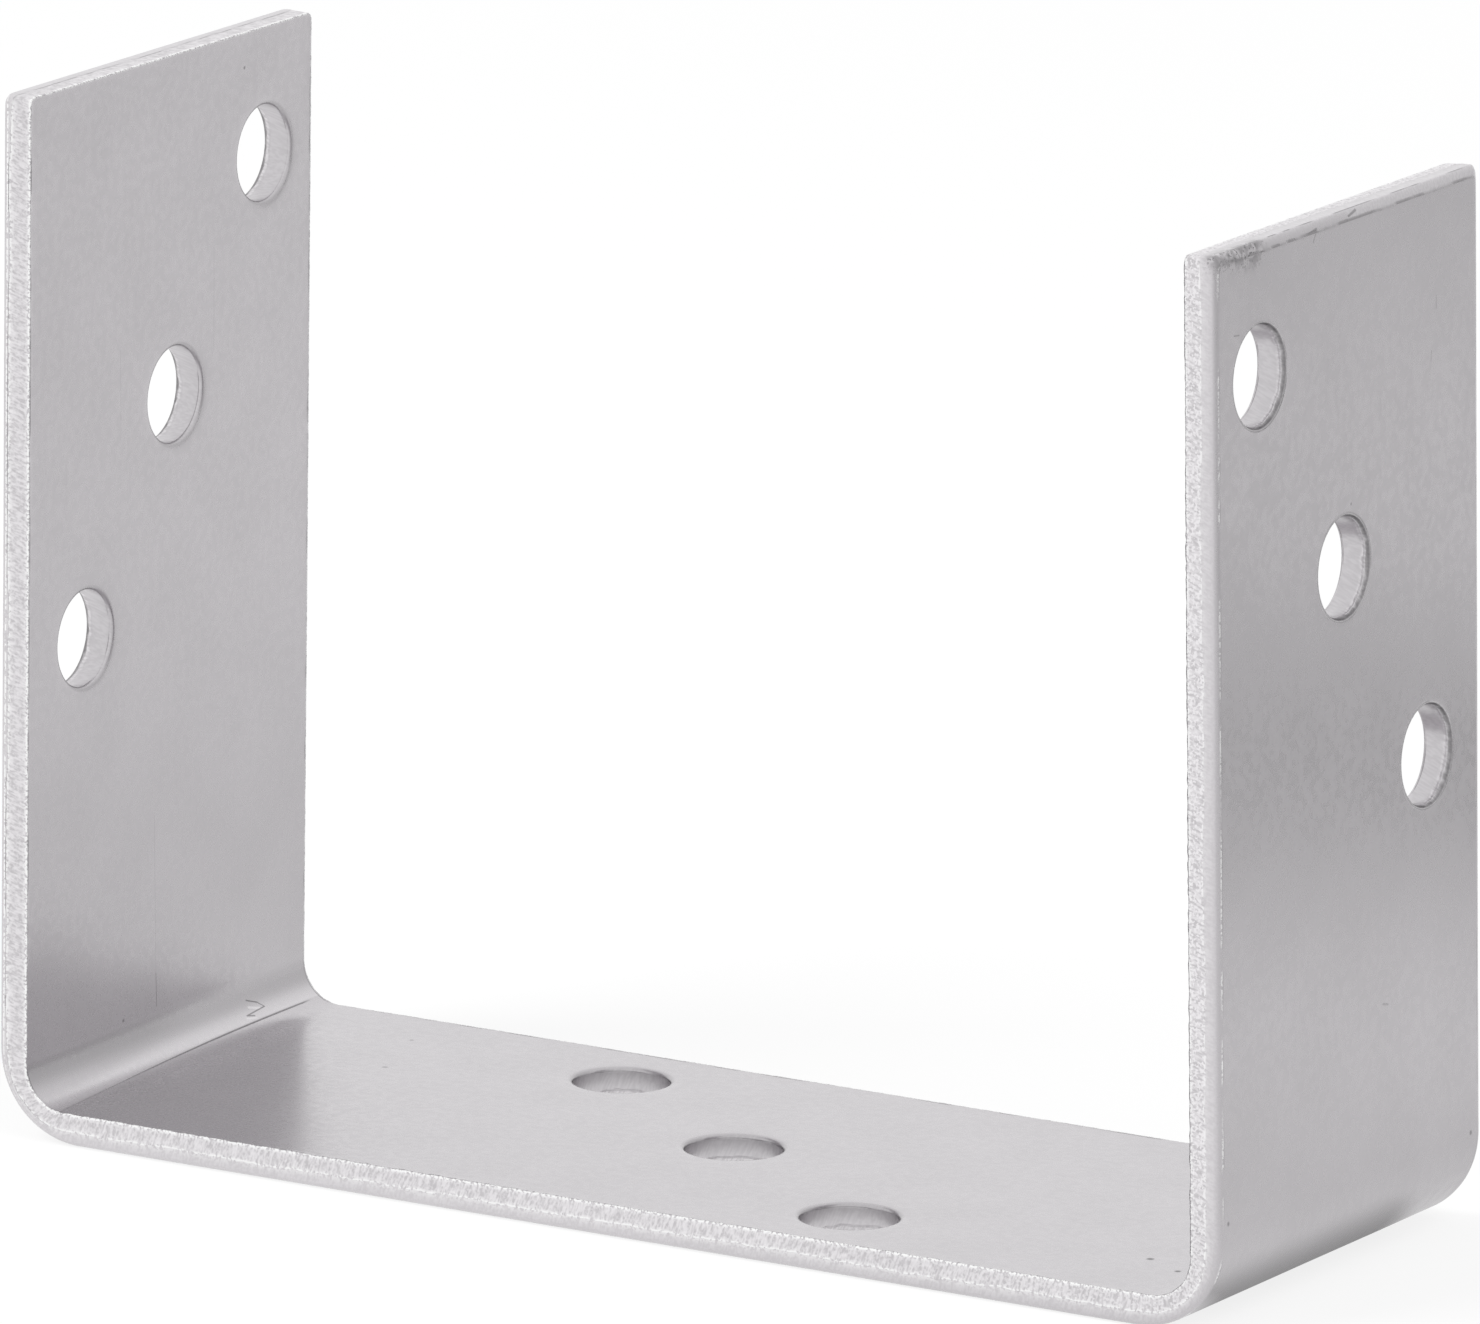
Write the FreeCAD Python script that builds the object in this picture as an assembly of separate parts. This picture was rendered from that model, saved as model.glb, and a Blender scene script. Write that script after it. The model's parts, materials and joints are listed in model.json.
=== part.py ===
import FreeCAD, Part
import math
import os

# A U bracket folded from one strip of sheared steel plate, with a slanting row of punched
# holes through its base and through each leg. The left leg stands square to the base. The
# right one is folded a little too far, so the U narrows towards its top.
# Millimetres and degrees. X runs from the left leg to the right, Y from the front edge to
# the back, Z up. The origin is the middle of the base's underside.

# The folded strip. The clear width is the one just above the folds
clear_width = 122.0
overall_height = 97.0
strip_width = 48.0
plate = 3.0

# The folds. The plate thins as it stretches round them, so they are rounder outside
fold_inside_radius = 4.0
fold_outside_radius = 8.5
left_fold_angle = 90.0
right_fold_angle = 91.6

# Long edges, cut before folding: rolled over outside, torn along the inside
edge_roll_depth = 0.65
edge_roll_width = 0.85
edge_break_depth = 1.6
edge_break_taper = 0.10

# Leg ends, cropped from the outside
end_roll_depth = 0.45
end_roll_width = 1.1
end_break_depth = 1.3
end_break_taper = 0.06

# Punched holes, entered from inside the U and torn where the slug left
hole_radius = 4.5
hole_roll_depth = 0.35
hole_roll_width = 0.45
hole_break_depth = 0.45
hole_break_flare = 0.22

# Rows of holes, each slanting across the strip. A leg's row starts below its end
holes_in_row = 3
top_hole_from_end = 12.0
leg_row_drop = 20.0
leg_row_step = 15.0
leg_row_shift = 1.0
base_row_step_along = 21.0
base_row_step_across = 15.0

# Spare size of what is swept, and of the cutting tools, beyond the strip
spare = 1.0
over = 5.0

up = FreeCAD.Vector(0, 0, 1)
across = FreeCAD.Vector(0, 1, 0)
folds = ((-1, left_fold_angle - 90), (1, right_fold_angle - 90))


def roll_arc(start, end, flat_direction):
    """Arc that leaves start along flat_direction and ends at end, as a rolled-over edge does."""
    chord = end.sub(start)
    along = chord.dot(flat_direction)
    drop = chord.sub(flat_direction * along)
    radius = (along ** 2 + drop.Length ** 2) / (2 * drop.Length)
    centre = start.add(drop.normalize() * radius)
    half = math.asin(along / radius) / 2
    middle = centre.sub(drop * (radius * math.cos(half))).add(flat_direction * (radius * math.sin(half)))
    return Part.Arc(start, middle, end).toShape()


def closed_face(corners, arcs=()):
    """Face with the given corners. Each pair in arcs is (index, edge) and replaces that side."""
    sides = dict(arcs)
    edges = []
    for index, corner in enumerate(corners):
        following = corners[(index + 1) % len(corners)]
        edges.append(sides.get(index) or Part.makeLine(corner, following))
    return Part.Face(Part.Wire(edges))


def outside_section(x):
    """Section of the strip at x on the base, true outside: both long edges are rolled over."""
    half = strip_width / 2
    corners = [
        FreeCAD.Vector(x, -half, plate + spare),
        FreeCAD.Vector(x, -half, edge_roll_depth),
        FreeCAD.Vector(x, -half + edge_roll_width, 0),
        FreeCAD.Vector(x, half - edge_roll_width, 0),
        FreeCAD.Vector(x, half, edge_roll_depth),
        FreeCAD.Vector(x, half, plate + spare),
    ]
    front_roll = roll_arc(corners[2], corners[1], across * -1)
    back_roll = roll_arc(corners[3], corners[4], across)
    return closed_face(corners, [(1, front_roll), (3, back_roll)])


def inside_section(x):
    """Section of the strip at x on the base, true inside: the torn part of each edge slopes in."""
    inner_half = strip_width / 2 - edge_break_taper
    outer_half = inner_half + (plate + spare) * edge_break_taper / edge_break_depth
    return closed_face([
        FreeCAD.Vector(x, -inner_half, plate),
        FreeCAD.Vector(x, -outer_half, -spare),
        FreeCAD.Vector(x, outer_half, -spare),
        FreeCAD.Vector(x, inner_half, plate),
    ])


def fold_axis(side, lean, radius, depth):
    """A point on the axis of an arc between the base and a leg. The arc has the given radius
    and touches both at the given depth, counted from the inner face."""
    lean = math.radians(lean)
    height = plate - depth + radius
    rise = height - fold_outside_radius
    reach = fold_outside_radius - plate + depth - radius
    x = clear_width / 2 + plate - fold_outside_radius + (reach - rise * math.sin(lean)) / math.cos(lean)
    return FreeCAD.Vector(side * x, 0, height)


def leaning(shape, side, lean):
    """A shape made for a square leg, turned with the leg about the outside of its fold."""
    return shape.rotated(fold_axis(side, lean, fold_outside_radius, plate), across, -side * lean)


def swept_strip(section, radius, depth):
    """A section carried along the base, round both folds and up both legs. The folds turn it
    about the axes that leave the given radius at the given depth."""
    axes = [fold_axis(side, lean, radius, depth) for side, lean in folds]
    strip = section(axes[0].x).extrude(axes[1].sub(axes[0]))
    for (side, lean), axis in zip(folds, axes):
        end = section(axis.x)
        turn = -side * (90 + lean)
        fold = end.revolve(axis, across, turn)
        leg_direction = FreeCAD.Rotation(across, -side * lean).multVec(up)
        leg = end.rotated(axis, across, turn).extrude(leg_direction * (overall_height - axis.z + over))
        strip = strip.fuse([fold, leg])
    return strip.removeSplitter()


def end_tool(side):
    """What the cropping blade takes off a square leg's end, with the shape that it leaves there."""
    inner_x = clear_width / 2
    outer_x = inner_x + plate
    top = overall_height

    def at(x, z):
        return FreeCAD.Vector(side * x, -strip_width / 2 - over, z)

    taper_rate = end_break_taper / end_break_depth
    corners = [
        at(inner_x - over, top - end_break_taper - over * taper_rate),
        at(inner_x + end_break_depth, top),
        at(outer_x - end_roll_depth, top),
        at(outer_x, top - end_roll_width),
        at(outer_x + over, top - end_roll_width),
        at(outer_x + over, top + 2 * over),
        at(inner_x - over, top + 2 * over),
    ]
    roll = roll_arc(corners[3], corners[2], up)
    return closed_face(corners, [(2, roll)]).extrude(across * (strip_width + 2 * over))


def punch_tool(place, direction):
    """The punched hole as a solid of revolution, from its place on the inner face outwards."""

    def at(radius, depth):
        return FreeCAD.Vector(radius, 0, depth)

    flare_rate = hole_break_flare / hole_break_depth
    corners = [
        at(0, -over),
        at(hole_radius + hole_roll_width, -over),
        at(hole_radius + hole_roll_width, 0),
        at(hole_radius, hole_roll_depth),
        at(hole_radius, plate - hole_break_depth),
        at(hole_radius + hole_break_flare + over * flare_rate, plate + over),
        at(0, plate + over),
    ]
    roll = roll_arc(corners[2], corners[3], FreeCAD.Vector(-1, 0, 0))
    tool = closed_face(corners, [(2, roll)]).revolve(FreeCAD.Vector(0, 0, 0), up, 360)
    tool.Placement = FreeCAD.Placement(place, FreeCAD.Rotation(up, direction))
    return tool


def leg_tools(side, lean):
    """Everything that is cut out of one leg: its end, and its row of holes."""
    tools = [end_tool(side)]
    for index in range(holes_in_row):
        step = (holes_in_row - 1) / 2 - index
        y = -side * (leg_row_shift + step * leg_row_step)
        z = overall_height - top_hole_from_end - index * leg_row_drop
        place = FreeCAD.Vector(side * clear_width / 2, y, z)
        tools.append(punch_tool(place, FreeCAD.Vector(side, 0, 0)))
    return [leaning(tool, side, lean) for tool in tools]


def base_tools():
    """The row of holes through the base."""
    tools = []
    for index in range(holes_in_row):
        step = (holes_in_row - 1) / 2 - index
        place = FreeCAD.Vector(-step * base_row_step_along, step * base_row_step_across, plate)
        tools.append(punch_tool(place, up * -1))
    return tools


def u_bracket():
    """The finished bracket: the strip between its outside and inside forms, cropped and punched."""
    outside = swept_strip(outside_section, fold_outside_radius, plate)
    inside = swept_strip(inside_section, fold_inside_radius, 0)
    tools = base_tools()
    for side, lean in folds:
        tools += leg_tools(side, lean)
    return outside.common(inside).cut(tools).removeSplitter()


os.makedirs("parts", exist_ok=True)
bracket = u_bracket()
bracket.exportStep("parts/u_bracket.step")
box = bracket.optimalBoundingBox(True, False)
print("solids", len(bracket.Solids), "faces", len(bracket.Faces), "valid", bracket.isValid())
print("volume", round(bracket.Volume, 2), "size", [round(v, 3) for v in (box.XLength, box.YLength, box.ZLength)])
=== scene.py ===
"""The finish of a U bracket: one strip of zinc-plated steel, sheared, punched and folded.

The strip's surface is worked out flat, in strip coordinates: s runs along the strip from the
end of the left leg to the end of the right leg, y runs across it, and depth goes from 0 on the
inside of the U to the plate's thickness on the outside. One function then folds it into the U.
"""
import json
from itertools import product

import bmesh
import bpy
import numpy as np
from mathutils import Matrix, Vector


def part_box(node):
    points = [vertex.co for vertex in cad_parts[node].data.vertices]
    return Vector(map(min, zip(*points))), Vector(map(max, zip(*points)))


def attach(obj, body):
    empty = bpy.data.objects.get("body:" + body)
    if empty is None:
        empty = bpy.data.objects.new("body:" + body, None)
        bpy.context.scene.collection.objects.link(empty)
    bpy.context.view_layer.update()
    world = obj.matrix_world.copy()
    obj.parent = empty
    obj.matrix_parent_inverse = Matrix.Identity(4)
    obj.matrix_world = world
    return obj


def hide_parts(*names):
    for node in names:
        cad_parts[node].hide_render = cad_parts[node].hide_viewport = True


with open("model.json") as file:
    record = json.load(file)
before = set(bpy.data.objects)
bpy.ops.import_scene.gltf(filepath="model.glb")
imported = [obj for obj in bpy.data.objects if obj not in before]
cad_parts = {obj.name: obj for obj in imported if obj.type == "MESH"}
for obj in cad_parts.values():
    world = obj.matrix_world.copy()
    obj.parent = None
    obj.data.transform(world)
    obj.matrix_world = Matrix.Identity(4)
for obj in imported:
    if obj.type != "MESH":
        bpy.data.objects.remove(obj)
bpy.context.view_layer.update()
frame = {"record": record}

MM = 0.001

# The plate, read from the frame, in millimetres
plate_node = "u_bracket"
box_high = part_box(plate_node)[1]
mounts = {mount["name"]: mount for mount in frame["record"]["mounts"]}
half_width = box_high.y / MM
plate = mounts["base_seat"]["pos_m"][2] / MM
hole_radius = mounts["base_hole_centre"]["dims"]["r_mm"]
row_shift = mounts["left_leg_hole_middle"]["pos_m"][1] / MM
left_leg_height = 97.0

# The folds, which thin the plate. The right leg leans in by the angle of its holes
fold_inside = 4.0
fold_outside = 8.5
right_lean = np.arcsin(mounts["right_leg_hole_middle"]["axis"][2])

# The strip's path, from the middle of the base to its end
half_base = box_high.x / MM - fold_outside
fold_length = (fold_outside - plate / 2) * np.pi / 2
leg_start = half_base + fold_length
half_length = leg_start + left_leg_height - fold_outside

# Edges as (long edge, leg end): the roll-over outside and the torn band beside the inside face
roll_width = (0.85, 1.1)
roll_depth = (0.65, 0.45)
tear_depth = (1.6, 1.3)
tear_taper = (0.10, 0.06)
burr_height = 0.11
torn_start = 0.24
torn_inset = 0.01
least_sheared = 0.2
streak_height = 0.022
crumb_height = 0.014

# How the torn line wanders, as (seed, height, length), and how much deeper it is on the left leg
tear_wander = [(1, 0.16, 7.0), (2, 0.09, 1.6), (3, 0.05, 0.5)]
left_leg_deeper = 0.5
deeper_reach = 20.0

# Holes: rolled rim on the inside, torn flare on the outside
rim_width = 0.45
rim_depth = 0.35
torn_wall = 0.9
flare_depth = 0.45
flare_width = 0.22
flare_crumb = 0.03
exit_lip = 0.02
flare_torn = 0.8

# Unevenness of the whole plate: slow waves, a dish round each hole, a lip along the inside edges
wave_height = 0.012
ripple_height = 0.005
dish_depth = 0.05
dish_reach = 0.7
lip_depth = 0.02
lip_reach = 0.9

# Grid of the flat faces, and how finely the edges and holes divide it
cell = 1.5
fold_cells = 16
patch_cells = 4
edge_splits = 5
corner_splits = 8
hole_splits = 3
border = 1.6
welds_per_millimetre = 5000
corner_power = 5.0
torn_rows = 7
ring_radius = 5.75
fine_ring_radius = 5.35

# Marks, in strip coordinates: start, end, width and strength. The ding lines beside the left fold are
# painted shade of dents, and the next list holds painted highlights on the metal that a ding pushed up
ding_shade_lines = [
    ((-62.5, 13.1), (-61.9, 14.6), 0.12, 1.0),
    ((-61.9, 14.6), (-61.2, 15.3), 0.10, 1.0),
    ((-61.2, 15.3), (-60.9, 12.0), 0.11, 1.0),
    ((-60.9, 12.0), (-60.6, 13.0), 0.14, 1.0),
]
ding_highlight_lines = [
    ((-61.7, 13.0), (-61.2, 14.5), 0.22, 1.0),
    ((-60.6, 11.7), (-60.3, 13.0), 0.15, 0.7),
]
scratches_inside = [
    ((-65.6, -1.7), (-69.0, -1.85), 0.07, 0.8),
    ((-69.0, -1.85), (-84.0, -2.3), 0.05, 0.3),
    ((-135.7, 7.3), (-126.0, 7.4), 0.05, 0.3),
    ((-128.9, -8.5), (-122.4, -8.4), 0.05, 0.25),
]
scratches_outside = [
    ((154.1, -7.1), (154.3, -5.6), 0.16, 0.7),
    ((154.3, -5.6), (153.2, -6.3), 0.10, 0.6),
    ((154.4, 0.2), (154.7, 1.7), 0.16, 0.8),
    ((144.5, 16.0), (143.3, 16.0), 0.08, 0.5),
    ((139.6, 15.1), (138.7, 15.0), 0.08, 0.5),
    ((147.4, -20.5), (147.3, -19.6), 0.10, 0.6),
    ((81.9, 5.8), (81.7, 6.7), 0.16, 0.4),
    ((58.6, 0.4), (58.4, 3.0), 0.14, 1.0),
]

# Specks: centre, width and strength
specks_inside = [
    ((-126.8, -0.9), 0.22, 0.8),
    ((-151.6, 12.3), 0.24, 0.9),
    ((-41.4, 6.7), 0.42, 0.7),
    ((-44.6, 16.5), 0.30, 0.8),
    ((-65.4, -7.4), 0.28, 0.8),
    ((50.9, -13.1), 0.50, 1.4),
    ((55.0, -15.4), 0.42, 1.4),
]
specks_outside = [
    ((68.0, -22.4), 0.30, 0.8),
    ((128.5, 0.3), 0.22, 0.6),
    ((66.6, 21.9), 0.32, 0.8),
]

# A dark stain on the right leg's end, and the line that the folding tool creased beside the left fold,
# painted dark as shade over a grooved bump
stain = ((156.0, -23.5), (155.2, -17.0), 3.2)
crease_place = -59.95
crease_bow = 0.00108
crease_back = 20.0

# Colours of the plating, and of what folding, shearing and wear made of it; some stand in as painted
# highlight and painted shade
face_deep = (0.58, 0.561, 0.58, 1)
face_pale = (0.60, 0.58, 0.60, 1)
fibre_grey = (0.53, 0.512, 0.53, 1)
# Burnish colour, made paler as a painted highlight
burnished_pale = (0.69, 0.67, 0.69, 1)
# Grey of the painted shade at the top of the left fold
fold_dull = (0.47, 0.455, 0.47, 1)
sheared_deep = (0.64, 0.62, 0.64, 1)
sheared_pale = (0.71, 0.69, 0.71, 1)
torn_deep = (0.60, 0.582, 0.60, 1)
torn_pale = (0.82, 0.80, 0.82, 1)
# Near white for the painted glints on torn crumbs
crumb_glint_pale = (0.90, 0.88, 0.90, 1)
# Pale colour of the painted highlight beside the ding lines
ridge_highlight_pale = (0.90, 0.88, 0.90, 1)
dark_grey = (0.10, 0.095, 0.10, 1)
floor_pale = (0.86, 0.86, 0.86, 1)
white = (1.0, 1.0, 1.0, 1)

# Roughness of the plating, smoothest first, and heights of the relief in the material
face_roughness = (0.25, 0.31)
sheared_roughness = 0.30
torn_roughness = 0.40
peel_relief = 0.0014
crumb_relief = 0.03
groove_relief = 0.03

# Floor: the directions by which its painted reflection levels are laid out, half the size of the painted
# shadow patch under the base in metres, and the share of plain white in what is seen of it
back_right = (0.518, 0.855, 0.0)
front_right = (0.855, -0.518, 0.0)
shadow_patch_half = (0.058, 0.012, 0.0)
plain_share = 0.82

# World: the side that reflects grey, how grey, and its level as a light
grey_side = (0.6, 0.8, 0.0)
grey_level = 0.76
light_level = 0.72

# Numbers that scramble the lattice points of the random field
hash_factors = (73856093, 19349663, 83492791)
hash_mixer = np.uint64(1274126177)
low_bits = np.uint64(0xFFFFFFFF)


def grain(seed, *coordinates):
    """Smooth random field from -1 to 1: hashed values on a lattice one unit apart, eased between."""
    floors = [np.floor(c) for c in coordinates]
    shares = [c - f for c, f in zip(coordinates, floors)]
    eased = [t * t * (3 - 2 * t) for t in shares]
    total = 0.0
    for corner in product((0, 1), repeat=len(coordinates)):
        code = np.uint64(seed * 7919 + 97)
        weight = 1.0
        for floor, ease, step, factor in zip(floors, eased, corner, hash_factors):
            whole = (floor.astype(np.int64) + step + 2 ** 20).astype(np.uint64)
            code = (code ^ (whole * np.uint64(factor))) & low_bits
            code = ((code ^ (code >> np.uint64(13))) * hash_mixer) & low_bits
            weight = weight * (ease if step else 1 - ease)
        code = code ^ (code >> np.uint64(16))
        total = total + weight * (code.astype(float) / 2 ** 31 - 1)
    return total


def wandering(parts, s, y):
    """A sum of grains. Each part holds its seed, height and length in millimetres."""
    return sum(height * grain(seed, s / length, y / length) for seed, height, length in parts)


def fold(strip):
    """Strip coordinates to the U: flat along the base, round each fold, straight up the leg. In a
    fold each cross line is a ray from the centre of the outside arc. It meets the inside arc, whose
    own centre lies nearer the corner, at r = c cos(a) + sqrt(inside^2 - (c sin(a))^2)."""
    s, y, depth = strip.T
    run = np.abs(s)
    lean = np.where(s > 0, right_lean, 0.0)
    half = np.pi / 4 + lean / 2
    turn = np.clip((run - half_base) / fold_length, 0, 1) * 2 * half
    off = np.abs(turn - half)
    flat = fold_outside - plate
    centre = (flat - fold_inside) / np.cos(half)
    arc = centre * np.cos(off) + np.sqrt(fold_inside ** 2 - (centre * np.sin(off)) ** 2)
    straight = flat / np.cos(half - off)
    arc_ends = half - np.arctan(centre * np.sin(half) / flat)
    inside = np.where(off < arc_ends, arc, straight)
    radius = inside + (fold_outside - inside) * depth / plate
    up = np.maximum(run - leg_start, 0)
    x = np.sign(s) * (np.minimum(run, half_base) + radius * np.sin(turn) - up * np.sin(lean))
    z = fold_outside - radius * np.cos(turn) + up * np.cos(lean)
    return np.stack([x, y, z], 1) * MM


def hole_centres():
    """(s, y) of every hole, unfolded from the places of the bore mounts."""
    centres = []
    for mount in mounts.values():
        if mount["kind"] == "bore":
            x, y, z = (value / MM for value in mount["pos_m"])
            axis_x, _, axis_z = mount["axis"]
            climb = (z - fold_outside) * abs(axis_x) + (half_base - abs(x)) * axis_z
            centres.append((np.sign(x) * (leg_start + climb) if abs(axis_x) > 0.5 else x, y))
    return np.array(centres)


def row_offset(s):
    """How far the rows of holes sit off the middle: the shift on each leg, nothing on the base."""
    return -np.sign(s) * row_shift * np.clip((np.abs(s) - half_base) / fold_length, 0, 1)


def across(level, s):
    """y of a grid line: it follows the rows of holes, and beyond them closes up to the border."""
    reach = half_width - 2 * cell
    inside = np.clip(level, -reach, reach) + row_offset(s)
    share = np.clip((np.abs(level) - reach) / (2 * cell), 0, 1)
    return inside + share * (np.sign(level) * (half_width - border) - inside)


def grid_lines(holes):
    """s of the grid lines: even cells between the hole patches, the folds and the ends."""
    reach = patch_cells * cell
    ends = [border - half_length, half_length - border]
    folds = np.linspace(half_base, leg_start, fold_cells + 1)
    stops = np.concatenate([ends, folds, -folds, holes[:, 0] - reach, holes[:, 0] + reach])
    stops = np.unique(np.round(stops, 6))
    parts = [np.linspace(a, b, max(1, round((b - a) / cell)) + 1)[:-1] for a, b in zip(stops, stops[1:])]
    return np.concatenate(parts + [stops[-1:]])


def triangles(rows, columns, closed=False):
    """Faces of a grid of points that run row by row. In a closed grid each row meets its start."""
    last = columns if closed else columns - 1
    row = np.arange(rows - 1)[:, None] * columns
    a = (row + np.arange(last)).ravel()
    b = (row + (np.arange(last) + 1) % columns).ravel()
    c, d = b + columns, a + columns
    return np.concatenate([np.stack([a, b, c], 1), np.stack([a, c, d], 1)])


def stitch(coarse, fine, owner):
    """Faces between a coarse loop and a fine one: each fine edge makes a triangle with the coarse
    point that owns it, and another fills in where the owner changes."""
    start = np.arange(len(fine)) + len(coarse)
    end = np.roll(start, -1)
    next_owner = np.roll(owner, -1)
    changes = owner != next_owner
    own = np.stack([owner, start, end], 1)
    fill = np.stack([owner, end, next_owner], 1)[changes]
    return np.concatenate([coarse, fine]), np.concatenate([own, fill])


def at_depth(flat, depth):
    """(s, y) points as strip points at one depth."""
    return np.concatenate([flat, np.full((len(flat), 1), float(depth))], 1)


def between(pair, end):
    """A size of the long edges blended to the one of the leg ends."""
    return pair[0] + (pair[1] - pair[0]) * end


def roll_radius(width, depth):
    """Radius of the arc that leaves a face flat and falls by depth over width."""
    return (width ** 2 + depth ** 2) / (2 * depth)


def spread(rows, count):
    """Profile rows with each value spread over the columns, and the finishes of the whole grid. A row
    holds its place across, its depth, and then how torn, sheared, burred and seamed it is; the burr
    value is a painted glint and the seamed value painted shade."""
    rows = [[np.broadcast_to(value, count) for value in row] for row in rows]
    finish = [np.concatenate(values) for values in list(zip(*rows))[2:]]
    return rows, finish


class Surface:
    """Patches of points and triangles. Each point has four values: how torn and how sheared it is, how
    much painted glint it shows on burrs and bright lines, and how much dark line of painted shade, each
    from 0 to about 1."""

    def __init__(self):
        self.points, self.finish, self.faces, self.count = [], [], [], 0

    def add(self, points, faces, *finish):
        """Takes in a patch. Without a finish it is plain face."""
        points = points.reshape(-1, 3)
        finish = [np.broadcast_to(f, len(points)) for f in finish or (0.0, 0.0, 0.0, 0.0)]
        self.points.append(points)
        self.finish.append(np.stack(finish, 1))
        self.faces.append(faces + self.count)
        self.count += len(points)

    def welded(self):
        """Points that share a place become one, and faces that lose their area go."""
        points, finish, faces = (np.concatenate(x) for x in (self.points, self.finish, self.faces))
        key = np.round(points * welds_per_millimetre).astype(np.int64)
        _, first, place = np.unique(key, axis=0, return_index=True, return_inverse=True)
        a, b, c = place.ravel()[faces].T
        kept = (a != b) & (b != c) & (c != a)
        return points[first], finish[first], np.stack([a, b, c], 1)[kept]


def border_sides(s_lines, levels):
    """The four sides of a face's border, front first and then round by the right leg's end."""
    first, last = (s_lines[k] + 0 * levels for k in (0, -1))
    front, back = (levels[k] + 0 * s_lines for k in (0, -1))
    return [
        np.stack([s_lines, across(front, s_lines)], 1),
        np.stack([last, across(levels, last)], 1),
        np.stack([s_lines, across(back, s_lines)], 1)[::-1],
        np.stack([first, across(levels, first)], 1)[::-1],
    ]


def edge_columns(sides):
    """Columns of the edge, edge_splits to a cell and corner_splits round a corner: for each its
    start on the border, its outward angle, and the border point that owns it."""
    starts, angles, owners = [], [], []
    passed = 0
    fan = np.arange(1, corner_splits) / corner_splits
    for turn, side in enumerate(sides):
        cells = len(side) - 1
        position = np.arange(cells * edge_splits + 1) / edge_splits
        along = [np.interp(position, np.arange(cells + 1), side[:, axis]) for axis in (0, 1)]
        starts += [np.stack(along, 1), np.repeat(side[-1:], len(fan), axis=0)]
        angles += [np.full(len(position), turn - 1.0), turn - 1 + fan]
        owners += [passed + np.floor(position + 0.5).astype(int), np.full(len(fan), passed + cells)]
        passed += cells
    return np.concatenate(starts), np.concatenate(angles) * np.pi / 2, np.concatenate(owners) % passed


def tear_line(s, y, end, deepest):
    """Depth of the ragged line between torn and sheared metal. It lies deeper on the left leg."""
    deeper = left_leg_deeper * np.clip((-s - half_base) / deeper_reach, 0, 1)
    wander = wandering(tear_wander, s, y)
    return np.minimum(between(tear_depth, end) + (deeper + wander) * (1 - 0.4 * end), deepest)


def lip_and_burr(s, y, end, taper):
    """Profile rows from the inside face over a grooved line painted dark as shade, and the burr, which
    is highest in front.
    """
    burr = burr_height * (0.5 + 0.5 * grain(4, s / 0.5, y / 0.5)) * (1 - 0.6 * end)
    burr = burr * np.where(y < 0, 1, 0.3)
    # A dark line beside the burr: painted shade, also cut as a shallow bump
    groove_and_shade = (1 - end) * np.clip(0.2 + 1.6 * grain(8, s / 2.5, y / 2.5), 0, 1)
    return [
        (1.3, 0, 0, 0, 0, 0),
        (0.75 + taper, 0, 0, 0, 0, 0),
        (0.34 + taper, 0, 0, 0, 0, 0),
        (0.24 + taper, -0.2 * burr, 0, 0, 0, groove_and_shade),
        # The burr rows carry painted glint
        (0.15 + taper, -0.7 * burr, 0, 0, 0.3, 0),
        (0.06 + taper, -burr, 0, 0, 1, 0),
        (taper, 0.10, 0.6, 0, 1, 0),
        (taper * 0.97 + torn_inset, torn_start, 1, 0, 0.4, 0),
    ]


def torn_band(s, y, end, taper, tear, tear_glint, seam):
    """Profile rows down the torn metal, streaked through the thickness and smoother at its end."""
    rows = []
    for row in range(1, torn_rows + 1):
        share = row / torn_rows
        level = torn_start + (tear - torn_start) * share
        streak = grain(5, (s + 0.4 * level) / 0.3, y / 0.3, level / 1.6)
        crumb = grain(6, s / 0.35, y / 0.35, level / 0.3)
        rough = streak_height * streak + crumb_height * crumb
        rough = rough * (1 - share ** 4) * (1 - 0.5 * end)
        inset = taper * (1 - share) + torn_inset - rough
        rows.append((inset, level, 1, 0, tear_glint * share ** 8, seam * (share == 1)))
    return rows


def roll_over(s, y, end, width, depth, left_glint, seam):
    """Profile rows round the arc that falls from the outer face to the sheared band: its swing
    goes from the whole arc at the band to nothing at the face."""
    front = y < 0
    right_glint = (1 - end) * (s > half_base) * np.clip(0.5 + 1.5 * grain(9, s / 2.0, y / 2.0), 0, 1)
    radius = roll_radius(width, depth)
    rows = []
    for share in (1.0, 0.88, 0.6, 0.3, 0.08, 0.0):
        swing = np.arcsin(width / radius) * share
        # Painted shade lines at both borders of the roll, and small painted shadows beside the right
        # glints
        line = seam * (share in (1.0, 0.08)) + 0.5 * right_glint * (share == 0.0)
        glint = left_glint * (share == 1.0) + right_glint * (share == 0.08) * front
        # At the back the roll takes the paler sheared colour further out: a painted highlight
        smooth = np.where(front, share ** 2, min(1, 4 * share))
        level = plate - radius * (1 - np.cos(swing))
        rows.append((width - radius * np.sin(swing), level, 0, smooth, glint, line))
    return rows + [(width + 0.15, plate, 0, 0, 0, 0), (width + 0.35, plate, 0, 0, 0, 0)]


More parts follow.
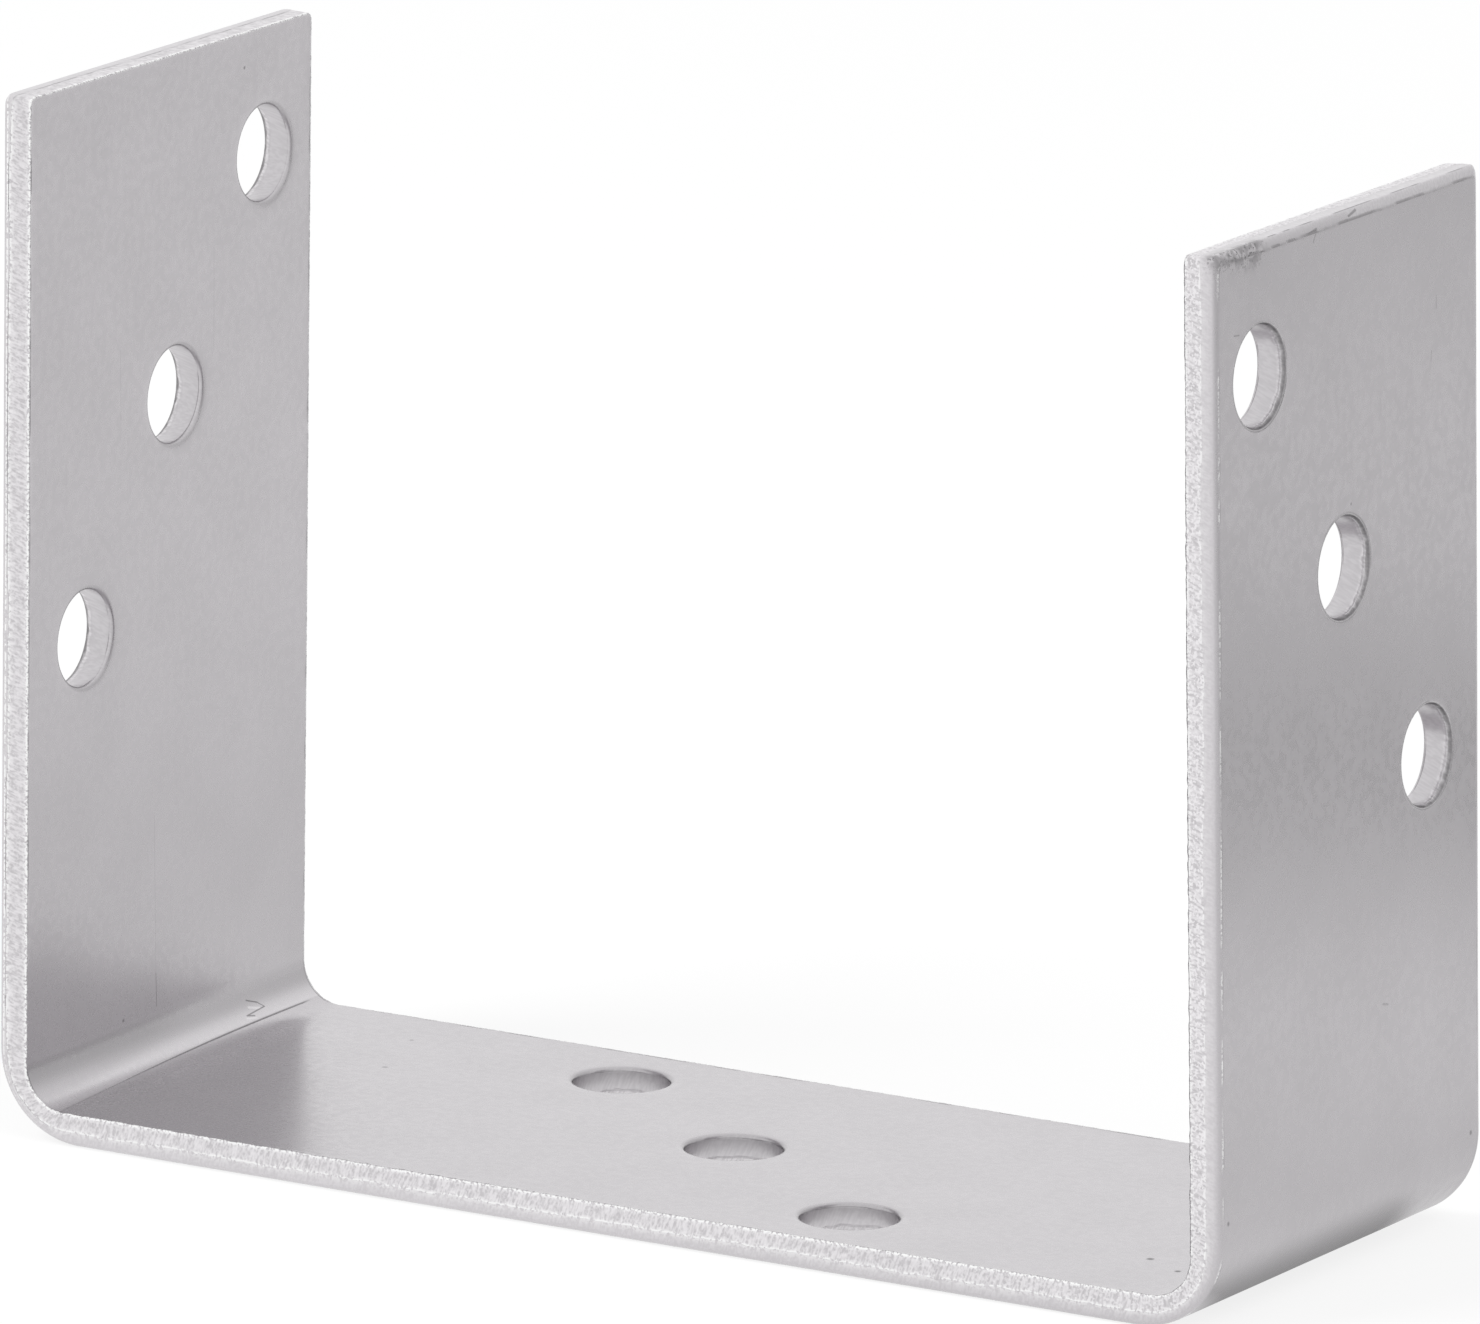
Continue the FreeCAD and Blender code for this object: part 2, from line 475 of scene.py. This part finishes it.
def edge_profile(s, y, end):
    """Profile rows of the sheared edge from inside to outside: a lip, a burr, a torn band whose depth
    wanders, a smooth sheared band and a roll-over that meets the outer face flat. Where they meet, a
    glint is a painted highlight line and a dark line is painted shade."""
    width, depth, taper = (between(pair, end) for pair in (roll_width, roll_depth, tear_taper))
    tear = tear_line(s, y, end, plate - depth - least_sheared)
    ragged = np.clip(0.6 + 1.5 * grain(7, s / 1.3, y / 1.3), 0, 1)
    # Dark ragged lines across the leg ends: painted shade
    left_end_shade_line = end * (s < 0) * ragged
    right_end_shade_line = end * (s > 0) * ragged
    left_glint = (1 - end) * np.clip((-s - half_base) / fold_length - 0.3, 0, 1)
    tear_glint = (1 - end) * np.where(s < leg_start, 1.0, 0.5)
    sheared_band = [
        (-0.01, tear + 0.06, 0, 1, 0.4 * tear_glint, 0),
        (0, plate - depth - 0.15, 0, 1, 0, 0),
        (0, plate - depth - 0.05, 0, 1, left_glint, 0),
    ]
    return [
        *lip_and_burr(s, y, end, taper),
        *torn_band(s, y, end, taper, tear, tear_glint, left_end_shade_line),
        *sheared_band,
        *roll_over(s, y, end, width, depth, left_glint, right_end_shade_line),
    ]


def edge_band(surface, sides):
    """The sheared edge all the way round: its profile carried along the border. Round a corner it
    goes outwards on a superellipse, on which |x|^5 + |y|^5 = 1."""
    starts, angles, owners = edge_columns(sides)
    end = np.cos(angles) ** 2
    circle = np.stack([np.cos(angles), np.sin(angles)], 1)
    outward = circle / (np.abs(circle) ** corner_power).sum(1, keepdims=True) ** (1 / corner_power)
    s, y = (starts + outward * border).T
    rows, finish = spread(edge_profile(s, y, end), len(s))
    points = [np.concatenate([starts + outward * (border - inset)[:, None], level[:, None]], 1)
              for inset, level, *_ in rows]
    surface.add(np.stack(points), triangles(len(rows), len(s), closed=True), *finish)
    coarse = np.concatenate([side[:-1] for side in sides])
    surface.add(*stitch(at_depth(coarse, 0), points[0], owners))
    surface.add(*stitch(at_depth(coarse, plate), points[-1], owners))


def faces_and_holes(surface, holes, s_lines, levels):
    """Both faces as grids with a square patch left out round each hole, and in each patch the rings
    that turn the square into the hole, whose wall is a profile of radius and depth turned round."""
    grid = np.stack(np.meshgrid(s_lines, levels, indexing="ij"), -1)
    grid[..., 1] = across(grid[..., 1], grid[..., 0])
    rows, columns = grid.shape[:2]
    open_cells = np.zeros((rows - 1, columns - 1), bool)
    patches = []
    for s, y in holes:
        i = np.abs(s_lines - s).argmin() - patch_cells
        j = np.abs(grid[i + patch_cells, :, 1] - y).argmin() - patch_cells
        n = 2 * patch_cells
        open_cells[i:i + n, j:j + n] = True
        square = np.concatenate([grid[i:i + n, j], grid[i + n, j:j + n],
                                 grid[i + n:i:-1, j + n], grid[i, j + n:j:-1]])
        patches.append(square)
    shown = np.tile(~open_cells.ravel(), 2)
    faces = triangles(rows, columns)[shown]
    for depth in (0, plate):
        surface.add(at_depth(grid.reshape(-1, 2), depth), faces)
        for centre, square in zip(holes, patches):
            hole_rings(surface, centre, square, depth)
    for index, centre in enumerate(holes):
        hole_wall(surface, centre, index)


def round_points(centre, radius, count):
    """count points round a circle, starting at the corner of the patch."""
    angle = np.arange(count) / count * 2 * np.pi - 3 * np.pi / 4
    radius = np.broadcast_to(radius, count)
    return centre + np.stack([np.cos(angle), np.sin(angle)], 1) * radius[:, None]


def hole_rings(surface, centre, square, depth):
    """Flat rings from the patch's square to a coarse circle, and a stitch to the hole's fine circle."""
    circle = round_points(centre, ring_radius, len(square))
    rings = [square + (circle - square) * share for share in (0.0, 0.4, 0.75, 1.0)]
    surface.add(at_depth(np.concatenate(rings), depth), triangles(len(rings), len(square), closed=True))
    count = len(square) * hole_splits
    owner = np.floor(np.arange(count) / hole_splits + 0.5).astype(int) % len(square)
    fine = round_points(centre, fine_ring_radius, count)
    surface.add(*stitch(at_depth(circle, depth), at_depth(fine, depth), owner))


def hole_rim(painted_shades):
    """Profile rows round the arc that rolls the rim in, from the inside face to the wall, darkened as
    painted shade where it turns down.
    """
    arc_radius = roll_radius(rim_width, rim_depth)
    rows = [(fine_ring_radius, 0, 0, 0, 0, 0)]
    for share, shade in zip((0.0, 0.3, 0.65, 1.0), painted_shades):
        swing = np.arcsin(rim_width / arc_radius) * share
        radius = hole_radius + rim_width - arc_radius * np.sin(swing)
        rows.append((radius, arc_radius * (1 - np.cos(swing)), 0, share, 0, shade))
    return rows


def torn_flare(s, y, index, flare_start, patchy_rim_shade):
    """Profile rows down the torn flare, which opens to a small lip on the outer face. The flare and the
    lip are darkened as painted shade.
    """
    rows = [(hole_radius + 0.02, flare_start, flare_torn, 0, 0, 0)]
    for share in (0.25, 0.5, 0.75):
        level = flare_start + (plate - flare_start) * share
        rough = grain(31 + index, s / 0.4, y / 0.4, level / 0.4)
        dull = np.clip(0.5 + 1.4 * share + 0.6 * rough, 0, 1.3)
        radius = hole_radius + 0.02 + flare_width * share + flare_crumb * rough
        rows.append((radius, level, flare_torn, 0, 0, dull))
    exit_radius = hole_radius + flare_width
    lip = exit_lip * (0.5 + 0.5 * grain(41 + index, s / 0.6, y / 0.6))
    return rows + [
        (exit_radius, plate, flare_torn, 0, 0, 1.1),
        (exit_radius + 0.07, plate + lip, 0.5, 0, 0.4, 0.4),
        (exit_radius + 0.13, plate + 0.5 * lip, 0, 0, 0, 0.8 * patchy_rim_shade),
        (exit_radius + 0.26, plate, 0, 0, 0, 0),
        (fine_ring_radius, plate, 0, 0, 0, 0),
    ]


def hole_wall(surface, centre, index):
    """A punched hole: an arc rolls the rim in, a smooth wall follows, and past a ragged line the torn
    flare opens to the outer face. The flare is darkened as painted shade, and the holes in the base get
    painted shade on their walls from the rim down. Rows here hold a radius first."""
    count = 8 * patch_cells * hole_splits
    s, y = round_points(centre, hole_radius, count).T
    ragged = wandering([(11 + index, 0.1, 1.7), (12 + index, 0.06, 0.5)], s, y)
    rough_start = plate - torn_wall + 2 * ragged
    flare_start = plate - flare_depth + ragged
    # Patchy painted shade where the rim meets the wall, and on the lip outside
    patchy_rim_shade = np.clip(0.5 + 1.4 * grain(21 + index, s / 2.2, y / 2.2), 0, 1)
    on_base = abs(centre[0]) < half_base
    # Painted shade on the rim and down the wall, darker in the base
    painted_rim_shade = (0, 0.3, 0.5, 0.6) if on_base else (0, 0.3, 0.4, 0.1)
    painted_wall_shade = (0.4, 0.2, 0.0) if on_base else (0.25, 0.25, 0.25)
    rows = [
        *hole_rim(painted_rim_shade),
        (hole_radius, rim_depth + 0.07, 0, 1, 0, np.maximum(patchy_rim_shade, painted_wall_shade[0])),
        (hole_radius, rim_depth + 0.14, 0, 1, 0, painted_wall_shade[0]),
        (hole_radius, 0.5 * (rough_start + rim_depth), 0, 1, 0, painted_wall_shade[1]),
        (hole_radius, rough_start, 0, 1, 0, painted_wall_shade[2]),
        (hole_radius + 0.01, 0.5 * (rough_start + flare_start), flare_torn, 0, 0, 0),
        *torn_flare(s, y, index, flare_start, patchy_rim_shade),
    ]
    rows, finish = spread(rows, count)
    points = [np.concatenate([round_points(centre, radius, count), level[:, None]], 1)
              for radius, level, *_ in rows]
    surface.add(np.stack(points), triangles(len(rows), count, closed=True), *finish)


def sheet_form(strip, holes):
    """The plate's own unevenness: a slow wave through its thickness, a soft dish on the inside round
    each hole, and a lip along the inside edge."""
    s, y, depth = strip.T
    wave = wave_height * grain(51, s / 16, y / 12) + ripple_height * grain(52, s / 5, y / 5)
    near_inside = np.clip(1 - depth / 0.4, 0, 1)
    distance = np.sqrt(((strip[:, None, :2] - holes[None]) ** 2).sum(2)).min(1)
    dish = dish_depth * np.exp(-np.maximum(distance - hole_radius - rim_width, 0) / dish_reach)
    margin = np.minimum(half_width - np.abs(y), half_length - np.abs(s))
    lip = lip_depth * np.exp(-np.maximum(margin, 0) / lip_reach)
    return np.stack([s, y, depth + wave + near_inside * (dish - lip)], 1)


def bracket_mesh():
    """The whole closed surface, folded, as a mesh with its strip coordinates and finish."""
    holes = hole_centres()
    s_lines = grid_lines(holes)
    levels = np.arange(-half_width, half_width + cell / 2, cell)
    surface = Surface()
    faces_and_holes(surface, holes, s_lines, levels)
    edge_band(surface, border_sides(s_lines, levels))
    strip, finish, faces = surface.welded()
    mesh = bpy.data.meshes.new("u_bracket_plate")
    points = fold(sheet_form(strip, holes))
    mesh.vertices.add(len(points))
    mesh.vertices.foreach_set("co", points.astype(np.float32).ravel())
    mesh.loops.add(faces.size)
    mesh.loops.foreach_set("vertex_index", faces.astype(np.int32).ravel())
    mesh.polygons.add(len(faces))
    mesh.polygons.foreach_set("loop_start", np.arange(0, faces.size, 3, dtype=np.int32))
    mesh.polygons.foreach_set("use_smooth", np.ones(len(faces), bool))
    for name, values in (("strip", strip), ("finish", finish[:, :3])):
        attribute = mesh.attributes.new(name, "FLOAT_VECTOR", "POINT")
        attribute.data.foreach_set("vector", values.astype(np.float32).ravel())
    attribute = mesh.attributes.new("seam", "FLOAT", "POINT")
    attribute.data.foreach_set("value", finish[:, 3].astype(np.float32))
    mesh.update(calc_edges=True)
    shell = bmesh.new()
    shell.from_mesh(mesh)
    bmesh.ops.recalc_face_normals(shell, faces=shell.faces[:])
    shell.to_mesh(mesh)
    shell.free()
    return mesh


def emptied(shaded):
    """The node tree of a material or a world, with nothing in it."""
    shaded.use_nodes = True
    shaded.node_tree.nodes.clear()
    return shaded.node_tree


def node(tree, kind, inputs=(), **settings):
    """A shader node with its settings, and with each input linked to a socket or set to a value."""
    made = tree.nodes.new("ShaderNode" + kind)
    for name, value in settings.items():
        setattr(made, name, value)
    for name, value in dict(inputs).items():
        if isinstance(value, bpy.types.NodeSocket):
            tree.links.new(value, made.inputs[name])
        else:
            made.inputs[name].default_value = value
    return made.outputs


def math(tree, operation, *values):
    """One sum on numbers at each point."""
    return node(tree, "Math", enumerate(values), operation=operation)[0]


def vector_math(tree, operation, *values, output=0):
    """One sum on vectors at each point. Lengths and dot products come from the Value output."""
    return node(tree, "VectorMath", enumerate(values), operation=operation)[output]


def times(tree, *values):
    """The product of several numbers at each point."""
    result = values[0]
    for value in values[1:]:
        result = math(tree, "MULTIPLY", result, value)
    return result


def most(tree, values):
    """The greatest of several numbers at each point."""
    values = iter(values)
    result = next(values)
    for value in values:
        result = math(tree, "MAXIMUM", result, value)
    return result


def noise(tree, vector, scale, detail=2.0, stretch=(1, 1, 1), twist=0.0):
    """Noise from 0 to 1 with scale features to a millimetre, stretched along the strip's axes."""
    scaled = vector_math(tree, "MULTIPLY", vector, [scale * k for k in stretch])
    inputs = {"Vector": scaled, "Scale": 1.0, "Detail": detail, "Distortion": twist}
    return node(tree, "TexNoise", inputs)[0]


def ramp(tree, value, low, high, start=0.0, end=1.0, kind="SMOOTHSTEP"):
    """start below low, end above high, and smooth or straight between."""
    inputs = {"Value": value, "From Min": low, "From Max": high, "To Min": start, "To Max": end}
    return node(tree, "MapRange", inputs, interpolation_type=kind)[0]


def hump(tree, value, rise, fall):
    """0, then 1 between rise and fall, then 0. Both are pairs over which it climbs or drops."""
    return times(tree, ramp(tree, value, *rise), ramp(tree, value, *fall, 1.0, 0.0))


def blend(tree, share, first, second):
    """Colour or number mixed from first to second. A colour is a tuple or a colour socket."""
    made = tree.nodes.new("ShaderNodeMix")
    kinds = [getattr(value, "type", type(value)) for value in (first, second)]
    is_colour = "RGBA" in kinds or tuple in kinds
    made.data_type = "RGBA" if is_colour else "FLOAT"
    slots = (0, 6, 7) if is_colour else (0, 2, 3)
    for slot, value in zip(slots, (share, first, second)):
        if isinstance(value, bpy.types.NodeSocket):
            tree.links.new(value, made.inputs[slot])
        else:
            made.inputs[slot].default_value = value
    return made.outputs[2 if is_colour else 0]


def bump(tree, height, reach, beneath=None, inward=False):
    """A normal for a height of reach millimetres, on top of the normal beneath it."""
    inputs = {"Strength": 1.0, "Distance": reach * MM, "Height": height}
    if beneath:
        inputs["Normal"] = beneath
    return node(tree, "Bump", inputs, invert=inward)[0]


def near_line(tree, place, start, end, width, peak=1.0):
    """peak on the line from start to end, in strip coordinates, and 0 beyond its width. The nearest
    point of the line is its start plus the share of its length that the dot product gives."""
    start, end = Vector((*start, 0)), Vector((*end, 0))
    along = end - start
    offset = vector_math(tree, "SUBTRACT", place, start)
    share = vector_math(tree, "DOT_PRODUCT", offset, along / along.length_squared, output="Value")
    share = ramp(tree, share, 0.0, 1.0, kind="LINEAR")
    foot = node(tree, "VectorMath", {0: along, 3: share}, operation="SCALE")[0]
    distance = vector_math(tree, "DISTANCE", offset, foot, output="Value")
    return ramp(tree, distance, 0.3 * width, width, peak, 0.0)


def near_point(tree, place, centre, width, peak=1.0):
    """peak at a centre, in strip coordinates, and 0 beyond width."""
    distance = vector_math(tree, "DISTANCE", place, (*centre, 0.0), output="Value")
    return ramp(tree, distance, 0.3 * width, width, peak, 0.0)


def marks_on_face(tree, place, lines, points):
    """The strongest of a face's lines and specks."""
    drawn = most(tree, (near_line(tree, place, *mark) for mark in lines))
    dotted = most(tree, (near_point(tree, place, *mark) for mark in points))
    return math(tree, "MAXIMUM", drawn, dotted)


def fold_crease_shade_and_highlight(tree, s, y):
    """Beside the left fold, on the inside: the creased line, which bows by the square of its distance
    from the back and is painted dark as shade over a grooved bump; the band of burnish next to it,
    partly a painted highlight; and the strip at the top of the fold, darkened as painted shade."""
    back = math(tree, "SUBTRACT", crease_back, y)
    bow = times(tree, times(tree, back, back), crease_bow)
    past_crease = math(tree, "SUBTRACT", math(tree, "SUBTRACT", s, crease_place), bow)
    # The band of burnish beside the fold, partly real and partly a painted highlight
    burnished = hump(tree, past_crease, (-2.7, -1.1), (-0.35, -0.05))
    fade = times(tree, ramp(tree, y, -20.0, 4.0, 0.35, 1.0), ramp(tree, y, 20.5, 22.5, 1.0, 0.0))
    # Painted shade along the creased line, which the bump also grooves
    crease_groove_and_shade = times(tree, ramp(tree, math(tree, "ABSOLUTE", past_crease), 0.03, 0.13, 1.0, 0.0), fade)
    # Painted shade: the strip at the top of the fold is darkened in colour
    fold_top = hump(tree, s, (-65.0, -63.9), (-63.2, -61.2))
    dull = times(tree, fold_top, ramp(tree, y, -6.0, 8.0, 1.0, 0.3))
    return crease_groove_and_shade, burnished, dull


def scratches_specks_and_ding_shading(tree, s, y, inside):
    """The dark marks on each face, with the ding lines among them as painted shade, and the painted
    highlight on the metal that the ding lines pushed up.
    """
    place = node(tree, "CombineXYZ", {0: s, 1: y})[0]
    outside = math(tree, "SUBTRACT", 1.0, inside)
    marks_in = marks_on_face(tree, place, ding_shade_lines + scratches_inside, specks_inside)
    marks_out = marks_on_face(tree, place, scratches_outside, specks_outside)
    marks = [times(tree, marks_in, inside), times(tree, marks_out, outside)]
    painted_ridge_highlight = most(tree, (near_line(tree, place, *ridge_highlight) for ridge_highlight in ding_highlight_lines))
    return most(tree, marks), times(tree, painted_ridge_highlight, inside)


def stain_on_end(tree, s, y, depth, mottle, fine):
    """The stain in the metal of the right leg's end: cloudy grime, and small dark flecks."""
    place = node(tree, "CombineXYZ", {0: s, 1: y})[0]
    stained = times(tree, near_line(tree, place, *stain), ramp(tree, depth, 1.5, 2.7))
    grime = times(tree, stained, ramp(tree, mottle, 0.35, 0.65))
    flecks = times(tree, stained, ramp(tree, fine, 0.55, 0.66))
    return grime, flecks


def leaning_streaks(tree, s, y, depth):
    """Noise drawn out through the plate's thickness, leaning a little, as torn metal has it."""
    lean = times(tree, depth, 0.3)
    leaned = {0: math(tree, "ADD", s, lean), 1: math(tree, "ADD", y, lean), 2: depth}
    return noise(tree, node(tree, "CombineXYZ", leaned)[0], 4.2, 1.0, (1.0, 1.0, 0.17))


def face_colour(tree, strip, burnished, dull):
    """Zinc on the faces: pale clouds, faint fibres, the band of burnish made paler as a painted
    highlight, and the strip at the top of the fold darkened as painted shade.
    """
    cloud = ramp(tree, noise(tree, strip, 0.12, 2.0), 0.3, 0.7)
    fibre = ramp(tree, noise(tree, strip, 1.3, 2.0, twist=2.0), 0.35, 0.65, 0.0, 0.13)
    face = blend(tree, cloud, face_deep, face_pale)
    face = blend(tree, fibre, face, fibre_grey)
    face = blend(tree, times(tree, burnished, 0.9), face, burnished_pale)
    return blend(tree, dull, face, fold_dull)


def torn_colour(tree, s, torn, streaked, fine):
    """Torn metal: streaks, and bright crumbs where it is wholly torn, painted as glints, most of them on
    the right.
    """
    # Painted glints: crumbs turn near white
    crumbs = times(tree, ramp(tree, fine, 0.50, 0.60), ramp(tree, s, 20.0, 75.0, 0.35, 0.9))
    crumbs = times(tree, crumbs, ramp(tree, torn, 0.8, 1.0))
    streaks = blend(tree, streaked, torn_deep, torn_pale)
    return blend(tree, crumbs, streaks, crumb_glint_pale)


def relief(tree, strip, torn, fine, streak, grooves):
    """Normals for a faint peel in the plating, crumbs on the torn metal, and dark grooves."""
    waves = times(tree, noise(tree, strip, 0.35, 0.0), 2.0)
    peel = math(tree, "ADD", noise(tree, strip, 1.3, 1.0), waves)
    crumbs = times(tree, torn, math(tree, "ADD", fine, streak))
    normal = bump(tree, peel, peel_relief)
    normal = bump(tree, crumbs, crumb_relief, normal)
    return bump(tree, grooves, groove_relief, normal, inward=True)


def zinc_plated_steel():
    """Satin zinc over rolled plate. The torn bands are bright and finely streaked, with painted glints,
    the sheared bands smooth, and the faces a faint cloudy mottle with a few specks and scratches, and
    dents drawn as painted shade and highlight. Dark lines, hole walls and the creased line carry painted
    shade."""
    material = bpy.data.materials.new("zinc_plated_steel")
    tree = emptied(material)
    strip = node(tree, "Attribute", attribute_name="strip")["Vector"]
    finish = node(tree, "Attribute", attribute_name="finish")["Vector"]
    seam = node(tree, "Attribute", attribute_name="seam")["Fac"]
    # The third value is a painted glint, turned white in dots below
    torn, sheared, burr = node(tree, "SeparateXYZ", {0: finish})
    s, y, depth = node(tree, "SeparateXYZ", {0: strip})
    inside = ramp(tree, depth, 0.4, 0.7, 1.0, 0.0)
    mottle = noise(tree, strip, 1.1, 1.0)
    fine = noise(tree, strip, 3.6, 1.0)
    streak = leaning_streaks(tree, s, y, depth)
    streaked = ramp(tree, streak, 0.3, 0.7)

    crease_groove_and_shade, burnished, dull = (times(tree, mark, inside) for mark in fold_crease_shade_and_highlight(tree, s, y))
    marks, painted_ridge_highlight = scratches_specks_and_ding_shading(tree, s, y, inside)
    # The creased line's painted shade joins the dark marks
    marks = math(tree, "MAXIMUM", crease_groove_and_shade, marks)
    grime, flecks = stain_on_end(tree, s, y, depth, mottle, fine)

    colour = face_colour(tree, strip, burnished, dull)
    colour = blend(tree, sheared, colour, blend(tree, streaked, sheared_deep, sheared_pale))
    colour = blend(tree, torn, colour, torn_colour(tree, s, torn, streaked, fine))
    # Painted glints: white dots on burrs and bright edge lines
    bright = times(tree, burr, ramp(tree, fine, 0.41, 0.52))
    colour = blend(tree, bright, colour, white)
    # Painted highlight beside the ding lines
    colour = blend(tree, times(tree, painted_ridge_highlight, 0.6), colour, ridge_highlight_pale)
    # Painted shade from the dark lines, hole walls, creased line and ding lines, along with the real
    # scratches, specks, grime and flecks
    darks = ((seam, 0.55), (marks, 0.65), (grime, 0.5), (flecks, 0.75))
    dark = most(tree, [times(tree, value, share) for value, share in darks])
    colour = blend(tree, dark, colour, dark_grey)

    rough = ramp(tree, mottle, 0.3, 0.7, *face_roughness)
    rough = blend(tree, sheared, rough, sheared_roughness)
    rough = blend(tree, torn, rough, torn_roughness)
    grooves = math(tree, "MAXIMUM", seam, crease_groove_and_shade)
    normal = relief(tree, strip, torn, fine, streak, grooves)

    inputs = {"Base Color": colour, "Metallic": 1.0, "Roughness": rough, "Normal": normal}
    shader = node(tree, "BsdfPrincipled", inputs)[0]
    node(tree, "OutputMaterial", {"Surface": shader})
    return material


def polyline(tree, value, stops):
    """Straight lines through (value, level) points."""
    first, last = stops[0][0], stops[-1][0]
    share = ramp(tree, value, first, last, kind="LINEAR")
    made = tree.nodes.new("ShaderNodeValToRGB")
    tree.links.new(share, made.inputs[0])
    elements = made.color_ramp.elements
    elements[0].color = (stops[0][1],) * 3 + (1,)
    elements[1].color = (stops[-1][1],) * 3 + (1,)
    for at, level in stops[1:-1]:
        elements.new((at - first) / (last - first)).color = (level, level, level, 1)
    return made.outputs[0]


def floor():
    """A plain pale floor, seen as white with a faint shadow. For reflections it glows at painted levels:
    the right leg reflects a painted dark stripe, darker again far off, the left leg reflects it even,
    and both folds reflect a painted shadow patch under the base. A stop below is a distance in metres
    and a level."""
    size = 6.0
    below = -0.05 * MM
    mesh = bpy.data.meshes.new("floor")
    corners = [(-size, -size, below), (size, -size, below), (size, size, below), (-size, size, below)]
    mesh.from_pydata(corners, [], [(0, 1, 2, 3)])
    material = bpy.data.materials.new("pale_floor")
    tree = emptied(material)
    place = node(tree, "TexCoord")["Object"]
    away = vector_math(tree, "DOT_PRODUCT", place, back_right, output="Value")
    aside = vector_math(tree, "DOT_PRODUCT", place, front_right, output="Value")
    # Painted reflection levels that the legs see in the floor
    left_stops = [(-0.03, 1.0), (0.02, 0.82), (0.07, 0.80), (0.13, 0.88), (0.20, 0.92), (1.2, 0.92)]
    right_stops = [(-0.03, 1.0), (0.03, 0.85), (0.08, 0.80), (0.14, 0.91), (0.20, 0.78), (0.26, 0.24),
                   (0.32, 0.85), (0.40, 0.96), (0.50, 0.75), (0.70, 0.45), (1.20, 0.25)]
    left, right = (polyline(tree, away, stops) for stops in (left_stops, right_stops))
    painted_reflection_level = blend(tree, ramp(tree, aside, -0.03, 0.03), left, right)
    # Painted shadow patch under the base, seen only in reflections
    outward = vector_math(tree, "ABSOLUTE", place)
    outward = vector_math(tree, "SUBTRACT", outward, shadow_patch_half)
    beside, behind, _ = node(tree, "SeparateXYZ", {0: outward})
    beyond = math(tree, "MAXIMUM", math(tree, "ABSOLUTE", beside), behind)
    shaded = ramp(tree, beyond, 0.001, 0.0105, 0.45, 1.0)
    path = node(tree, "LightPath")
    seen = math(tree, "MAXIMUM", path["Is Camera Ray"], path["Is Transmission Ray"])
    level = blend(tree, seen, times(tree, painted_reflection_level, shaded), 1.0)
    glow = node(tree, "Emission", {"Color": white, "Strength": level})[0]
    share = math(tree, "MAXIMUM", times(tree, seen, plain_share), path["Is Glossy Ray"])
    diffuse = node(tree, "BsdfDiffuse", {"Color": floor_pale})[0]
    mixed = node(tree, "MixShader", {0: share, 1: diffuse, 2: glow})[0]
    node(tree, "OutputMaterial", {"Surface": mixed})
    mesh.materials.append(material)
    made = bpy.data.objects.new("floor", mesh)
    bpy.context.scene.collection.objects.link(made)


def surroundings():
    """White for the camera, white with a soft grey side for reflections, dimmer as a light."""
    world = bpy.data.worlds.new("white_studio")
    bpy.context.scene.world = world
    tree = emptied(world)
    direction = node(tree, "TexCoord")["Generated"]
    aside = vector_math(tree, "DOT_PRODUCT", direction, grey_side, output="Value")
    reflected = ramp(tree, aside, 0.62, 1.0, 1.0, grey_level)
    path = node(tree, "LightPath")
    seen = math(tree, "MAXIMUM", path["Is Camera Ray"], path["Is Transmission Ray"])
    level = blend(tree, path["Is Glossy Ray"], light_level, reflected)
    level = blend(tree, seen, level, 1.0)
    background = node(tree, "Background", {"Color": white, "Strength": level})[0]
    node(tree, "OutputWorld", {"Surface": background})


def softbox(name, place, target, size, power):
    """A square area light that faces its target. It lights the floor and shows in no reflection."""
    light = bpy.data.lights.new(name, "AREA")
    light.shape = "SQUARE"
    light.size = size
    light.energy = power
    lamp = bpy.data.objects.new(name, light)
    lamp.visible_glossy = False
    lamp.location = place
    lamp.rotation_euler = (Vector(target) - Vector(place)).to_track_quat("-Z", "Y").to_euler()
    bpy.context.scene.collection.objects.link(lamp)


def camera():
    """A long lens from the front right, a little above, as fitted to the photograph."""
    photo_width = 1480
    focal_pixels = 19440.91
    distance = 1.752295
    target = Vector((-0.04833, 0, 48.14572)) * MM
    azimuth, elevation, roll = np.radians((30.65658, 13.37505, 0.76145))
    level_back = Vector((np.sin(azimuth), -np.cos(azimuth), 0))
    back = level_back * np.cos(elevation) + Vector((0, 0, np.sin(elevation)))
    right = Vector((np.cos(azimuth), np.sin(azimuth), 0))
    up = back.cross(right)
    rolled_right = right * np.cos(roll) + up * np.sin(roll)
    rolled_up = up * np.cos(roll) - right * np.sin(roll)
    data = bpy.data.cameras.new("camera")
    data.lens = focal_pixels * data.sensor_width / photo_width
    made = bpy.data.objects.new("camera", data)
    turned = Matrix((rolled_right, rolled_up, back)).transposed()
    made.matrix_world = Matrix.Translation(target + back * distance) @ turned.to_4x4()
    bpy.context.scene.collection.objects.link(made)
    bpy.context.scene.camera = made


def bracket():
    """The finished bracket in place of its plain solid."""
    mesh = bracket_mesh()
    mesh.materials.append(zinc_plated_steel())
    piece = bpy.data.objects.new("folded_plate", mesh)
    bpy.context.scene.collection.objects.link(piece)
    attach(piece, "root")
    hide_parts(plate_node)
    print("triangles", len(mesh.polygons))


bracket()
floor()
surroundings()
softbox("key", place=(-0.9, -1.1, 1.5), target=(0, 0, 0.03), size=1.0, power=26.0)
softbox("fill", place=(0.9, -0.4, 1.3), target=(0, 0, 0.03), size=0.8, power=6.0)
camera()
bpy.context.scene.view_settings.view_transform = "Standard"
